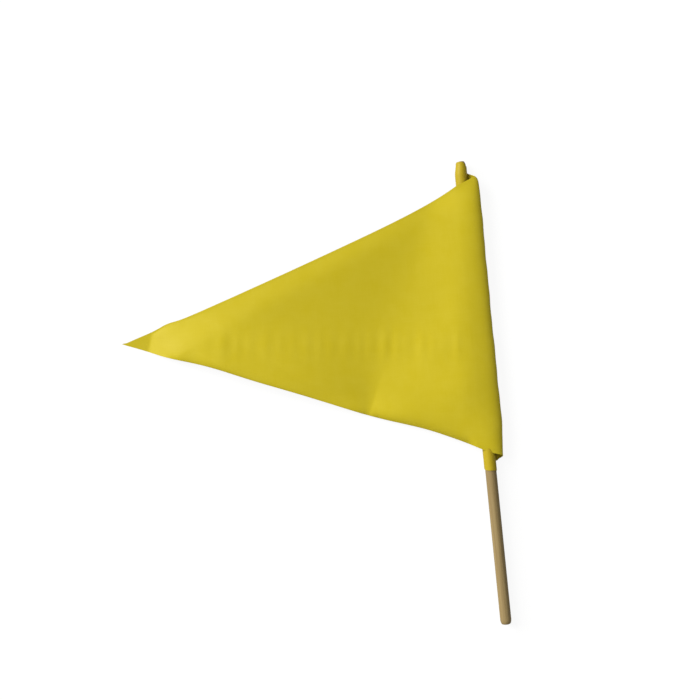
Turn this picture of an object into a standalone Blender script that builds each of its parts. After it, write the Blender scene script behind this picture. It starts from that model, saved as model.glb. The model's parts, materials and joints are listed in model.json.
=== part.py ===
"""Linesman flag: a triangle of coated yellow cloth stapled to a wooden stick.

The flag lies on a flat surface. The stick runs along +Y from the middle of its butt face, which
is the origin, and +Z is up. The cloth starts at its hoist edge on top of the stick, goes down
the left side and under the stick, runs out to the right, turns over in a loose fold beside the
stick and comes back over it, so that its tip lies far out towards -X. One straight cut triangle
makes all of this. It is two solids here, which meet at the fold line that the front layer turns
about when the flag is opened out.
"""

import math

import bmesh
import bpy
import numpy as np
from mathutils import Matrix

MM = 0.001

# Wooden stick, a plain dowel whose two ends are rounded over
STICK_LENGTH = 500 * MM
STICK_DIAMETER = 12 * MM
BUTT_ROUND_LENGTH = 5.5 * MM
BUTT_ROUND_DEPTH = 2.4 * MM
TOP_ROUND_LENGTH = 6.5 * MM
TOP_ROUND_DEPTH = 3.0 * MM
STICK_SIDES = 32
ROUND_STEPS = 6

# Cloth as it is cut: a triangle on its hoist edge, with raw edges and no hem
CLOTH_THICKNESS = 0.5 * MM
HOIST_EDGE = 336 * MM
CLOTH_LENGTH = 449 * MM
TIP_RISE = 178.4 * MM
BARE_TOP = 1.3 * MM

# How the cloth is wound and folded
FIT_GAP = 0.3 * MM
HOIST_ANGLE = math.radians(32)
FOLD_REACH = 10.15 * MM
FOLD_UNDER = 7.5 * MM
CROWN_PAST_STICK = 1.2 * MM
SHOULDER_LENGTH = 2.0 * MM

# How the front layer drapes. Points are (left of the stick's axis, up from the lower hoist
# corner, height above where the cloth lies flat). The middle facet is the plane through them.
DIMPLE = (123 * MM, 75.3 * MM, -2.5 * MM)
RIDGE_INNER = (43 * MM, 287.3 * MM, 11.4 * MM)
RIDGE_OUTER = (282 * MM, 167.3 * MM, 14.0 * MM)
STICK_SLOPE = 0.13
TOP_SLOPE = 0.42
TIP_SLOPE = 0.17
FLAT_TIP = 40 * MM
CREASE_WIDTH = 1.4 * MM
RIDGE_WIDTH = 3.3 * MM
SHOULDER_WIDTH = 0.45 * MM
FLOOR_WIDTH = 0.5 * MM

# The top edge rolls down and is drawn in, and both edges droop a little
DRAW_IN = 5.7 * MM
DRAW_START = 15 * MM
DRAW_SKEW = 0.75
RIM_WIDTH = 5.0 * MM
RIM_DROP = 1.6 * MM

# Steel staples that hold the hoist edge, each in holes through the cloth into the wood
STAPLE_NAMES = ("bottom", "middle", "top")
STAPLE_WIDTH = 10 * MM
STAPLE_LEG = 6 * MM
WIRE_THICKNESS = 0.5 * MM
WIRE_WIDTH = 0.7 * MM
WIRE_BEND = 0.6 * MM
POINT_LENGTH = 1.0 * MM
STAPLE_ANGLE = math.radians(16)
STAPLE_FROM_CORNER = 38 * MM
HOLE_CLEARANCE = 0.15 * MM

# Facets along and across the cloth
WRAP_STEPS = 22
STRIP_STEPS = 2
FOLD_STEPS = 9
FRONT_STEPS = 37
BODY_ROWS = 9
FAN_LENGTH = 10 * MM

# Sizes that follow from those above
STICK_RADIUS = STICK_DIAMETER / 2
WRAP_RADIUS = STICK_RADIUS + FIT_GAP + CLOTH_THICKNESS / 2
WRAP_OUTSIDE = WRAP_RADIUS + CLOTH_THICKNESS / 2
LIE_Z = -WRAP_RADIUS
FOLD_X = WRAP_OUTSIDE + FOLD_REACH
CROWN_X = -(WRAP_OUTSIDE + CROWN_PAST_STICK)
FOLD_OVER = FOLD_X - CROWN_X
STAPLE_SEAT = WRAP_OUTSIDE + FIT_GAP
STAPLE_TOP = STAPLE_SEAT + WIRE_THICKNESS
HOIST_TOP_Y = STICK_LENGTH - BARE_TOP
HOIST_FOOT_Y = HOIST_TOP_Y - HOIST_EDGE


def crown_over(x, z):
    """Height of the front layer's crown at which it clears the point (x, z) by the fit gap.

    The upper fold is a quarter ellipse from the crown to the fold line, half way down to where
    the cloth lies flat, so the crown follows from one point that the ellipse passes through.
    """
    share = math.sqrt(1 - ((x - CROWN_X) / FOLD_OVER) ** 2)
    passes = z + FIT_GAP + CLOTH_THICKNESS / 2
    return (2 * passes - LIE_Z * (1 - share)) / (1 + share)


def staple_corners():
    """The (x, z) of the two outer edges of a staple's crown."""
    across = (math.cos(STAPLE_ANGLE) * WIRE_WIDTH / 2, -math.sin(STAPLE_ANGLE) * WIRE_WIDTH / 2)
    top = (math.sin(STAPLE_ANGLE) * STAPLE_TOP, math.cos(STAPLE_ANGLE) * STAPLE_TOP)
    return [(top[0] + side * across[0], top[1] + side * across[1]) for side in (-1, 1)]


CROWN_Z = max(crown_over(x, z) for x, z in staple_corners())
FOLD_Z = (CROWN_Z + LIE_Z) / 2
FOLD_HEIGHT = CROWN_Z - FOLD_Z
CROWN_HEIGHT = CROWN_Z - LIE_Z
HINGE_X = FOLD_X + CLOTH_THICKNESS / 2 + FIT_GAP / 2


def clear_scene():
    for item in list(bpy.data.objects):
        bpy.data.objects.remove(item, do_unlink=True)


def material(name, colour, roughness, metallic=0.0):
    made = bpy.data.materials.new(name)
    made.use_nodes = True
    shader = made.node_tree.nodes["Principled BSDF"]
    shader.inputs["Base Color"].default_value = (*colour, 1)
    shader.inputs["Roughness"].default_value = roughness
    shader.inputs["Metallic"].default_value = metallic
    return made


def add_object(name, mesh, finish, parent=None):
    made = bpy.data.objects.new(name, mesh)
    bpy.context.collection.objects.link(made)
    mesh.materials.append(finish)
    made.parent = parent
    return made


def smooth_max(a, b, width):
    return np.logaddexp(a / width, b / width) * width


def smooth_min(a, b, width):
    return -smooth_max(-a, -b, width)


def rounded_end(length, depth):
    """(radius, distance from the end face) along a quarter ellipse, from the face to the side."""
    turns = np.linspace(0, math.pi / 2, ROUND_STEPS + 1)
    radius = STICK_RADIUS - depth * (1 - np.sin(turns))
    return list(zip(radius, length * (1 - np.cos(turns))))


def make_stick(finish):
    """The dowel, spun about its own axis from the outline of one side."""
    butt = rounded_end(BUTT_ROUND_LENGTH, BUTT_ROUND_DEPTH)
    top = rounded_end(TOP_ROUND_LENGTH, TOP_ROUND_DEPTH)
    outline = [(radius, along) for radius, along in butt]
    outline += [(radius, STICK_LENGTH - along) for radius, along in reversed(top)]
    shape = bmesh.new()
    rings = []
    for radius, along in outline:
        turned = Matrix.Translation((0, along, 0)) @ Matrix.Rotation(math.pi / 2, 4, "X")
        ring = bmesh.ops.create_circle(shape, segments=STICK_SIDES, radius=radius, matrix=turned)
        rings.append(ring["verts"])
    for ring, following in zip(rings, rings[1:]):
        for i in range(STICK_SIDES):
            j = (i + 1) % STICK_SIDES
            shape.faces.new((ring[i], ring[j], following[j], following[i]))
    shape.faces.new(rings[0])
    shape.faces.new(rings[-1])
    bmesh.ops.recalc_face_normals(shape, faces=shape.faces)
    mesh = bpy.data.meshes.new("stick")
    shape.to_mesh(mesh)
    shape.free()
    mesh.shade_smooth()
    mesh.set_sharp_from_angle(angle=math.radians(35))
    return add_object("stick", mesh, finish)


def plane_through(points):
    """(level, slope along x, slope along y) of the plane through three drape points."""
    rows = [(1, -left, HOIST_FOOT_Y + up) for left, up, _ in points]
    return np.linalg.solve(np.array(rows), np.array([height for _, _, height in points]))


def drape_height(x, y):
    """Height of the front layer's middle above where it lies flat, at places left of the fold.

    Four facets meet in soft creases: the slope that comes down from the stick, the middle facet,
    the facet that falls from the ridge to the top edge, and the slope down to the flat tip. The
    slope from the stick lies on the middle facet, and the other two cut it off.
    """
    level, along_x, along_y = plane_through((DIMPLE, RIDGE_INNER, RIDGE_OUTER))
    middle = level + along_x * x + along_y * y
    run = RIDGE_OUTER[0] - RIDGE_INNER[0]
    rise = RIDGE_INNER[1] - RIDGE_OUTER[1]
    beyond = (y - HOIST_FOOT_Y - RIDGE_INNER[1]) * run - (x + RIDGE_INNER[0]) * rise
    top_facet = middle - TOP_SLOPE * beyond / math.hypot(run, rise)
    foot_x = CROWN_X - (CLOTH_LENGTH - FRONT_START) + FLAT_TIP
    outer = smooth_min(smooth_min(middle, top_facet, RIDGE_WIDTH), TIP_SLOPE * (x - foot_x), RIDGE_WIDTH)
    stick_side = CROWN_HEIGHT + STICK_SLOPE * (x - CROWN_X + SHOULDER_LENGTH)
    draped = smooth_max(smooth_max(outer, stick_side, CREASE_WIDTH), 0 * x, FLOOR_WIDTH)
    return smooth_min(draped, CROWN_HEIGHT + 0 * x, SHOULDER_WIDTH)


def path_lengths(x, z):
    """Distance along the cloth from the first of these points to each."""
    return np.concatenate([[0], np.cumsum(np.hypot(np.diff(x), np.diff(z)))])


def hoist_section():
    """(x, z) of the wound end, from the hoist edge round the stick to just under the fold line."""
    turns = np.linspace(HOIST_ANGLE, -math.pi, WRAP_STEPS + 1)
    strip = np.linspace(0, FOLD_X - FOLD_UNDER, STRIP_STEPS + 1)[1:]
    last = math.acos(FIT_GAP / 2 / FOLD_HEIGHT)
    bends = np.linspace(0, last, FOLD_STEPS + 1)[1:]
    under_x = FOLD_X - FOLD_UNDER * (1 - np.sin(bends))
    under_z = FOLD_Z - FOLD_HEIGHT * np.cos(bends)
    x = np.concatenate([WRAP_RADIUS * np.sin(turns), strip, under_x])
    z = np.concatenate([WRAP_RADIUS * np.cos(turns), 0 * strip + LIE_Z, under_z])
    return x, z


def fold_section():
    """(x, share of the height over the fold line) of the upper fold, from just above that line."""
    bends = np.linspace(math.asin(FIT_GAP / 2 / FOLD_HEIGHT), math.pi / 2, FOLD_STEPS + 1)
    return CROWN_X + FOLD_OVER * np.cos(bends), np.sin(bends)


HOIST_X, HOIST_Z = hoist_section()
HOIST_CUT = path_lengths(HOIST_X, HOIST_Z)
UPPER_X, UPPER_SHARE = fold_section()
UPPER_CUT = HOIST_CUT[-1] + FIT_GAP + path_lengths(UPPER_X, UPPER_SHARE * FOLD_HEIGHT)
FRONT_START = UPPER_CUT[-1]


def front_section():
    """(x, distance from the hoist edge) of the front layer's columns left of its crown.

    The distance is measured along the cloth at the tip's own height, where the drape's rise and
    fall take up a little of it.
    """
    tip_y = HOIST_FOOT_Y + TIP_RISE
    x = np.linspace(CROWN_X, CROWN_X - CLOTH_LENGTH, 2000)
    along = FRONT_START + path_lengths(x, drape_height(x, 0 * x + tip_y))
    cut = np.linspace(FRONT_START, CLOTH_LENGTH - FAN_LENGTH, FRONT_STEPS + 1)[1:]
    cut = np.append(cut, CLOTH_LENGTH)
    return np.interp(cut, along, x), cut


def top_edge(cut):
    """Height up the stick of the cloth's top edge, at a distance from the hoist edge."""
    straight = HOIST_TOP_Y - cut * (HOIST_EDGE - TIP_RISE) / CLOTH_LENGTH
    first = HOIST_CUT[-1] + DRAW_START
    last = CLOTH_LENGTH - FLAT_TIP
    share = np.clip((cut - first) / (last - first), 0, 1) ** DRAW_SKEW
    return straight - DRAW_IN * np.sin(math.pi * share)


def bottom_edge(cut):
    return HOIST_FOOT_Y + cut * TIP_RISE / CLOTH_LENGTH


def row_shares(width):
    """Shares of the width at which the rows lie: the edges, a rim inside each, and the body."""
    rim = min(RIM_WIDTH / width, 0.2)
    return np.concatenate([[0], np.linspace(rim, 1 - rim, BODY_ROWS), [1]])


def cloth_mesh(name, x, y, z, tip=None):
    """Quads between the columns of a grid, whose rows run along the cloth, and a fan to the tip."""
    columns, rows = x.shape
    points = list(zip(x.ravel(), y.ravel(), z.ravel()))
    faces = []
    for column in range(columns - 1):
        for row in range(rows - 1):
            corner = column * rows + row
            faces.append((corner, corner + rows, corner + rows + 1, corner + 1))
    if tip is not None:
        edge = (columns - 1) * rows
        faces += [(edge + row, len(points), edge + row + 1) for row in range(rows - 1)]
        points.append(tip)
    mesh = bpy.data.meshes.new(name)
    mesh.from_pydata(points, [], faces)
    mesh.shade_smooth()
    return mesh


def thicken(piece):
    """Gives the cloth its thickness, half to each side of the drawn surface."""
    shell = piece.modifiers.new("thickness", "SOLIDIFY")
    shell.thickness = CLOTH_THICKNESS
    shell.offset = 0
    shell.use_even_offset = True
    return shell


def make_hoist(finish, stick):
    """The wound end: flat rows across, since nothing but the winding bends it."""
    low, high = bottom_edge(HOIST_CUT), top_edge(HOIST_CUT)
    y = np.stack([low, high], axis=1)
    x, z = (np.repeat(line[:, None], 2, axis=1) for line in (HOIST_X, HOIST_Z))
    piece = add_object("flag_hoist", cloth_mesh("flag_hoist", x, y, z), finish, stick)
    thicken(piece)
    return piece


def make_panel(finish):
    """The front layer: over the fold, over the stick and down in its drape to the tip."""
    front_x, front_cut = front_section()
    cut = np.concatenate([UPPER_CUT, front_cut[:-1]])
    column_x = np.concatenate([UPPER_X, front_x[:-1]])
    share = np.concatenate([UPPER_SHARE, np.ones(FRONT_STEPS)])[:, None]
    low, high = bottom_edge(cut), top_edge(cut)
    rows = np.array([row_shares(width) for width in high - low])
    y = low[:, None] + rows * (high - low)[:, None]
    x = np.repeat(column_x[:, None], y.shape[1], axis=1)
    height = drape_height(x, y)
    free = share * height / (height + RIM_DROP) * (x < CROWN_X)
    height[:, [0, -1]] -= (RIM_DROP * free)[:, [0, -1]]
    z = FOLD_Z + (LIE_Z + height - FOLD_Z) * share
    hinge = (HINGE_X, 0, FOLD_Z)
    tip = (front_x[-1] - hinge[0], HOIST_FOOT_Y + TIP_RISE, LIE_Z - hinge[2])
    mesh = cloth_mesh("flag_panel", x - hinge[0], y, z - hinge[2], tip)
    piece = add_object("flag_panel", mesh, finish)
    piece.location = hinge
    thicken(piece)
    return piece


def staple_outline():
    """Outline of a bent staple, crown up: out along the outside, and back along the inside."""
    half = STAPLE_WIDTH / 2
    inner_bend = max(WIRE_BEND - WIRE_THICKNESS, 0)
    bends = np.linspace(0, math.pi / 2, 4)
    right_outer = [
        (half - WIRE_BEND * (1 - math.sin(bend)), -WIRE_BEND * (1 - math.cos(bend))) for bend in bends
    ]
    inner_x, inner_z = half - WIRE_THICKNESS, -WIRE_THICKNESS
    right_inner = [
        (inner_x - inner_bend * (1 - math.sin(bend)), inner_z - inner_bend * (1 - math.cos(bend)))
        for bend in bends
    ]
    right_tip = [(half, POINT_LENGTH - STAPLE_LEG), (inner_x, -STAPLE_LEG)]
    right = right_outer + right_tip + right_inner[::-1]
    return right + [(-x, z) for x, z in reversed(right)]


def staple_mesh():
    """The outline, standing in the plane of the stick's axis and drawn out to the wire's width."""
    shape = bmesh.new()
    corners = [shape.verts.new((-WIRE_WIDTH / 2, along, up)) for along, up in staple_outline()]
    face = shape.faces.new(corners)
    drawn = bmesh.ops.extrude_face_region(shape, geom=[face])["geom"]
    moved = [item for item in drawn if isinstance(item, bmesh.types.BMVert)]
    bmesh.ops.translate(shape, verts=moved, vec=(WIRE_WIDTH, 0, 0))
    bmesh.ops.recalc_face_normals(shape, faces=shape.faces)
    mesh = bpy.data.meshes.new("staple")
    shape.to_mesh(mesh)
    shape.free()
    return mesh


def hole_cutter(name, place, leg_y):
    """A box round one leg, from outside the cloth to just past the leg's point in the wood."""
    depth = STAPLE_LEG + HOLE_CLEARANCE
    size = (WIRE_WIDTH + 2 * HOLE_CLEARANCE, WIRE_THICKNESS + 2 * HOLE_CLEARANCE, depth)
    shape = bmesh.new()
    bmesh.ops.create_cube(shape, size=1, matrix=Matrix.Diagonal((*size, 1)))
    bmesh.ops.translate(shape, verts=shape.verts, vec=(0, leg_y, -depth / 2))
    mesh = bpy.data.meshes.new(name)
    shape.to_mesh(mesh)
    shape.free()
    cutter = bpy.data.objects.new(name, mesh)
    bpy.context.collection.objects.link(cutter)
    cutter.matrix_world = place
    cutter.hide_render = True
    cutter.display_type = "WIRE"
    return cutter


def cut_hole(piece, cutter):
    hole = piece.modifiers.new(cutter.name, "BOOLEAN")
    hole.operation = "DIFFERENCE"
    hole.object = cutter


def make_staples(finish, stick, hoist):
    """Staples in a row along the hoist edge, with the holes that their legs pass through."""
    mesh = staple_mesh()
    lowest = HOIST_FOOT_Y + STAPLE_FROM_CORNER
    highest = HOIST_TOP_Y - STAPLE_FROM_CORNER
    turn = Matrix.Rotation(STAPLE_ANGLE, 4, "Y")
    leg_y = (STAPLE_WIDTH - WIRE_THICKNESS) / 2
    for name, y in zip(STAPLE_NAMES, np.linspace(lowest, highest, len(STAPLE_NAMES))):
        place = Matrix.Translation((0, y, 0)) @ turn @ Matrix.Translation((0, 0, STAPLE_TOP))
        piece = add_object("hoist_staple_" + name, mesh.copy(), finish, stick)
        piece.matrix_world = place
        for side, leg in ((-1, "low"), (1, "high")):
            cutter = hole_cutter(f"{name}_{leg}_leg_hole", place, side * leg_y)
            cut_hole(stick, cutter)
            cut_hole(hoist, cutter)


def main():
    clear_scene()
    wood = material("wood", (0.46, 0.29, 0.11), 0.62)
    cloth = material("yellow_cloth", (0.56, 0.46, 0.012), 0.55)
    steel = material("staple_steel", (0.55, 0.55, 0.56), 0.35, 1.0)
    stick = make_stick(wood)
    hoist = make_hoist(cloth, stick)
    make_panel(cloth)
    make_staples(steel, stick, hoist)


main()
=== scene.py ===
"""Looks of the linesman flag, built round its packed solids.

The cloth is one surface, worked out from the distance along the cut cloth and the share of the
way across it, and cut into two pieces: the part wound round the stick, and the fold with the front
layer. The stick is turned wood and the staples are bent wire. All lengths are in metres.
"""

import json
import math

import bpy
import numpy as np
from mathutils import Matrix, Vector


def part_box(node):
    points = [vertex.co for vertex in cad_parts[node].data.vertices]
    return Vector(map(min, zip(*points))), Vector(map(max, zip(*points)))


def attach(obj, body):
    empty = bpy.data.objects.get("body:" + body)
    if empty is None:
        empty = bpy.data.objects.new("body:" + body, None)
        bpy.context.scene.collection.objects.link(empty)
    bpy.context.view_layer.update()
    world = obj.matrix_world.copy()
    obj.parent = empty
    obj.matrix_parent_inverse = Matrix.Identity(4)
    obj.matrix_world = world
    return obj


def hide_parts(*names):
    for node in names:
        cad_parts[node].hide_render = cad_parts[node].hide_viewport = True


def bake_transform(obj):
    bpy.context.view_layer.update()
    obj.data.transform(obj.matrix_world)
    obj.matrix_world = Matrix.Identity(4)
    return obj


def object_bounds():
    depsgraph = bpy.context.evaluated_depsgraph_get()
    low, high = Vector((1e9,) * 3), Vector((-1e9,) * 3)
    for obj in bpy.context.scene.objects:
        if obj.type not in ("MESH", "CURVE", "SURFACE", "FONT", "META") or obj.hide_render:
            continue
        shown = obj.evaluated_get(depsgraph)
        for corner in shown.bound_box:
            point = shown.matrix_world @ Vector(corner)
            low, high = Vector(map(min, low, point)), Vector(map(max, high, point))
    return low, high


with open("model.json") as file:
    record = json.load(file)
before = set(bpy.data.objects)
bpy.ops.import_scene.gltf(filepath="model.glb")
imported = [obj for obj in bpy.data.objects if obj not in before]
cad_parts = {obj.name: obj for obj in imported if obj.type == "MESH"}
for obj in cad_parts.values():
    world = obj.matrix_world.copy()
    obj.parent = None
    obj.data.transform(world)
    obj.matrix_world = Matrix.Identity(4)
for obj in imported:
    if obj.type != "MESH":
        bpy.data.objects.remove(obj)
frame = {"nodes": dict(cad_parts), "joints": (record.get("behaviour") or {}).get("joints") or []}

bl_info = {
    "name": "Linesman flag",
    "version": (1, 0, 0),
    "blender": (4, 5, 0),
    "location": "View3D > Sidebar > Flag",
    "description": "Builds the cloth, stick and staples of a linesman flag round its solids",
    "category": "Object",
}

MM = 0.001
CAD_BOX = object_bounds()
STICK_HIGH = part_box("stick")[1]
HOIST_LOW, HOIST_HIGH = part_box("flag_hoist")
STAPLE_NODES = [name for name in sorted(frame["nodes"]) if name.startswith("hoist_staple")]
PANEL_HINGE = next(joint for joint in frame["joints"] if joint["name"] == "panel_fold")

# The stick and the cloth round it, from the solids
STICK_LENGTH = STICK_HIGH.y
STICK_RADIUS = STICK_HIGH.x
WRAP_OUTSIDE = -HOIST_LOW.z
HOIST_TOP_Y = HOIST_HIGH.y
HOIST_FOOT_Y = HOIST_LOW.y


def smooth_max(a, b, width):
    """The larger of two heights, with the crease between them rounded over about this width.

    It is the logarithm of the sum of their exponentials, all in units of the width.
    """
    return np.logaddexp(a / width, b / width) * width


def smooth_min(a, b, width):
    """The smaller of two heights, with the ridge between them rounded over in the same way."""
    return -smooth_max(-a, -b, width)


def bump(distance, width):
    """A bell, 1 at no distance: the exponential of minus the square of distance over width."""
    return np.exp(-((distance / width) ** 2))


def eased(value):
    """A step with level ends from 0 to 1: three squares less two cubes of the value held there."""
    held = np.clip(value, 0, 1)
    return held * held * (3 - 2 * held)


class FlagClothSettings(bpy.types.PropertyGroup):
    """Sizes and colours of the cloth as it is cut and wound."""

    thickness: bpy.props.FloatProperty(
        name="Thickness", description="Thickness of the coated cloth", default=0.5 * MM, subtype="DISTANCE"
    )
    length: bpy.props.FloatProperty(
        name="Length", description="From the hoist edge to the tip", default=449 * MM, subtype="DISTANCE"
    )
    tip_rise: bpy.props.FloatProperty(
        name="Tip rise", description="Tip above the lower hoist corner", default=178.4 * MM,
        subtype="DISTANCE"
    )
    hoist_angle: bpy.props.FloatProperty(
        name="Hoist angle", description="Hoist edge past the top of the stick", default=math.radians(32),
        subtype="ANGLE"
    )
    fold_under: bpy.props.FloatProperty(
        name="Fold under", description="Reach of the fold's lower half", default=7.5 * MM,
        subtype="DISTANCE"
    )
    crown_past: bpy.props.FloatProperty(
        name="Crown past stick",
        description="Where the front layer leaves the fold, left of the wound cloth", default=1.2 * MM,
        subtype="DISTANCE"
    )
    colour: bpy.props.FloatVectorProperty(
        name="Colour", description="Colour of the cloth", default=(0.586, 0.471, 0.0080), size=3,
        subtype="COLOR"
    )
    worn_colour: bpy.props.FloatVectorProperty(
        name="Worn colour", description="Colour where the coating is rubbed", default=(0.64, 0.53, 0.03),
        size=3, subtype="COLOR"
    )
    # Painted shade: the wound cloth's colours are multiplied by these shares, so that it renders darker, as
    # if in shade
    painted_shade_share: bpy.props.FloatVectorProperty(
        name="Painted shade", description="Share of its colour that the wound cloth keeps",
        default=(0.76, 0.70, 0.6), size=3
    )


class FlagStickSettings(bpy.types.PropertyGroup):
    """Sizes and colours of the wooden stick."""

    butt_round: bpy.props.FloatVectorProperty(
        name="Butt rounding", description="Length and depth of the butt's rounding",
        default=(5.5 * MM, 2.4 * MM), size=2
    )
    top_round: bpy.props.FloatVectorProperty(
        name="Top rounding", description="Length and depth of the top end's rounding",
        default=(6.5 * MM, 3.0 * MM), size=2
    )
    pale_wood: bpy.props.FloatVectorProperty(
        name="Pale wood", description="Wood between the grain lines", default=(0.355, 0.262, 0.110), size=3,
        subtype="COLOR"
    )
    dark_wood: bpy.props.FloatVectorProperty(
        name="Dark wood", description="Wood of the grain lines", default=(0.250, 0.172, 0.067), size=3,
        subtype="COLOR"
    )


class FlagStapleSettings(bpy.types.PropertyGroup):
    """Colour of the wire staples."""

    colour: bpy.props.FloatVectorProperty(
        name="Colour", description="Colour of the wire", default=(0.55, 0.55, 0.56), size=3, subtype="COLOR"
    )


class FlagStageSettings(bpy.types.PropertyGroup):
    """Camera, light and floor."""

    camera_height: bpy.props.FloatProperty(
        name="Camera height", description="Above the stick's axis", default=1.5, subtype="DISTANCE"
    )
    view_width: bpy.props.FloatProperty(
        name="View width", description="Width of the view at the stick's axis", default=0.75306,
        subtype="DISTANCE"
    )
    view_centre: bpy.props.FloatVectorProperty(
        name="View centre", description="Where the camera points", default=(-0.1378, 0.3101, 0), size=3,
        subtype="XYZ"
    )
    view_turn: bpy.props.FloatProperty(
        name="View turn", description="Lean of the stick in the picture", default=math.radians(-5.73),
        subtype="ANGLE"
    )
    sun_azimuth: bpy.props.FloatProperty(
        name="Light azimuth", description="Where the light comes from, from +X towards +Y",
        default=math.radians(143), subtype="ANGLE"
    )
    sun_elevation: bpy.props.FloatProperty(
        name="Light elevation", description="Height of the light", default=math.radians(29), subtype="ANGLE"
    )
    sun_strength: bpy.props.FloatProperty(
        name="Light strength", description="Strength of the light", default=4.05
    )
    sky_strength: bpy.props.FloatProperty(
        name="Sky strength", description="Strength of the even light all round", default=0.345
    )


SETTINGS = {
    "flag_cloth": FlagClothSettings,
    "flag_stick": FlagStickSettings,
    "flag_staples": FlagStapleSettings,
    "flag_stage": FlagStageSettings,
}

# Main forms of the front layer. A facet is (place, height there over lying flat, rise along x, rise
# along y), and the two meet in a ridge of this width
PLATEAU = ((-250 * MM, 330 * MM), 17.25 * MM, 0.0527, 0.0035)
LONG_SLOPE = ((-130 * MM, 330 * MM), 17.0 * MM, -0.183, 0.0446)
PLATEAU_WIDTH = 5.5 * MM

# Their fall to the top edge: how steep it is, how far below the edge it starts, how that line turns
# along x, and the width of its ridge
TOP_SLOPE = 0.24
TOP_REACH = 11.3 * MM
TOP_TURN = 0.0722
TOP_WIDTH = 1.2 * MM

# The slope above the flat tip, how its foot turns across the cloth, the width of its ridge, and how
# much of the tip lies flat
TIP_SLOPE = 0.303
TIP_TURN = -0.3
TIP_WIDTH = 0.3 * MM
FLAT_TIP = 32.5 * MM

# The slope down from the stick, at its foot and at its head, and where it changes over what run
STICK_SLOPES = (0.029, 0.090)
STICK_SLOPE_Y = 313 * MM
STICK_SLOPE_RUN = 260 * MM

# The crease beside it: its width at its foot, what it widens by, and where it widens over what run
CREASE_FOOT_WIDTH = 0.1 * MM
CREASE_HEAD_WIDTH = 5.15 * MM
CREASE_FOOT_Y = 225 * MM
CREASE_RUN = 200 * MM

# How softly the cloth comes down to lie flat
FLOOR_WIDTH = 0.22 * MM

# A band along the lower left has settled by this depth, between two lines across the flag given by
# (distance, run) along this direction
SETTLE_DEPTH = 9.5 * MM
SETTLE_ACROSS = (0.602, 0.799)
SETTLE_SPANS = ((58 * MM, 56 * MM), (108 * MM, 62 * MM))

# Past such a line the cloth lies lower by this share of its distance from the crown
LET_DOWN = 0.024
LET_DOWN_SPAN = (120 * MM, 40 * MM)

# The pinch at the crease's foot: its place, lean, depth, reach aside and up, and how blunt it is
PINCH_X = -124.7 * MM
PINCH_LEAN = 0.37
PINCH_DEPTH = 2.0 * MM
PINCH_WIDTH = 12 * MM
PINCH_RISE = 27 * MM
PINCH_BLUNT = 1 * MM

# Swells and hollows of the front layer in mm: (x, y, height, reach along, reach across, turn)
SWELLS = (
    (-316, 329, -3.2, 20, 88, 0.77),
    (-294, 362, -5.3, 76, 28, -0.36),
    (-299, 362, 4.6, 77, 46, -0.95),
    (-280, 310, 1.4, 31, 7, -0.53),
    (-204, 429, 5.6, 82, 37, 0.52),
    (-158, 323, -3.9, 53, 77, 0.46),
    (-165, 234, 7.8, 18, 67, -1.68),
    (-80, 208, 8.0, 36, 10, -0.32),
    (-49, 299, 1.4, 21, 38, -0.42),
    (-29, 443, -1.9, 78, 28, 1.04),
    (-28, 318, 0.6, 114, 14, 1.39),
    (-27, 470, -3.0, 19, 20, 0.28),
    (-27, 258, 2.1, 29, 32, 0.62),
    (-87, 228, 0.8, 31, 68, -0.88),
    (-16, 298, 1.6, 15, 71, -0.06),
    (-14, 520, 2.1, 17, 98, -0.14),
    (-345, 336, -4.1, 35, 14, 2.28),
    (-359, 358, -4.2, 18, 9, 0.0),
    (-204, 277, 3.2, 68, 20, -0.51),
)

# A row of short upright crinkles: the row's (height at the stick, rise), their lean and length, the run
# over which they come in past the crown, and each one's (x, height, width) in mm
CRINKLE_ROW = (301.5 * MM, -0.1)
CRINKLE_LEAN = 0.1
CRINKLE_LENGTH = 15.5 * MM
CRINKLE_START = 12 * MM
CRINKLES = (
    (-292, 0.10, 5),
    (-274, 0.55, 7),
    (-258, 0.25, 5),
    (-245, 0.20, 6),
    (-232, 0.10, 4),
    (-227, 0.25, 5),
    (-212, 0.10, 4),
    (-198, 0.10, 4),
    (-183, 0.25, 6),
    (-170, 0.25, 5),
    (-158, 0.30, 7),
    (-141, 0.35, 8),
    (-127, 0.25, 5),
    (-117, 0.25, 5),
    (-112, 0.15, 5),
    (-100, 0.60, 6),
    (-87, 0.40, 5),
    (-78, 0.40, 7),
    (-61, 0.30, 5),
    (-49, 0.15, 4),
    (-39, 0.15, 7),
    (-23, 0.30, 4),
)

# A small tuck near the tip, below a line that rises from the lower edge: the line's start and rise,
# the tuck's middle and reach along it, its slope and crease, and how far below the line it goes on
TUCK_START = -330 * MM
TUCK_RISE = 0.72
TUCK_PLACE = -316 * MM
TUCK_REACH = 17 * MM
TUCK_SLOPE = 0.068
TUCK_WIDTH = 0.5 * MM
TUCK_BELOW = 20 * MM

# The curled edges: (drop, width) of the lower one's left and right, where it starts, deepens and comes
# over the stick, its share there, and the run of each change. The top edge's drop is a small rise,
# which fades out towards the tip
RIM_LEFT = (1.75 * MM, 2.4 * MM)
RIM_RIGHT = (3.8 * MM, 4.4 * MM)
RIM_START = -330 * MM
RIM_CHANGE = -118 * MM
RIM_STICK = -17 * MM
RIM_STICK_SHARE = 0.15
RIM_RUN = 12 * MM
TOP_RIM = (-0.15 * MM, 2.2 * MM)
TOP_RIM_END = 20 * MM
TOP_RIM_FADE = 40 * MM

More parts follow.
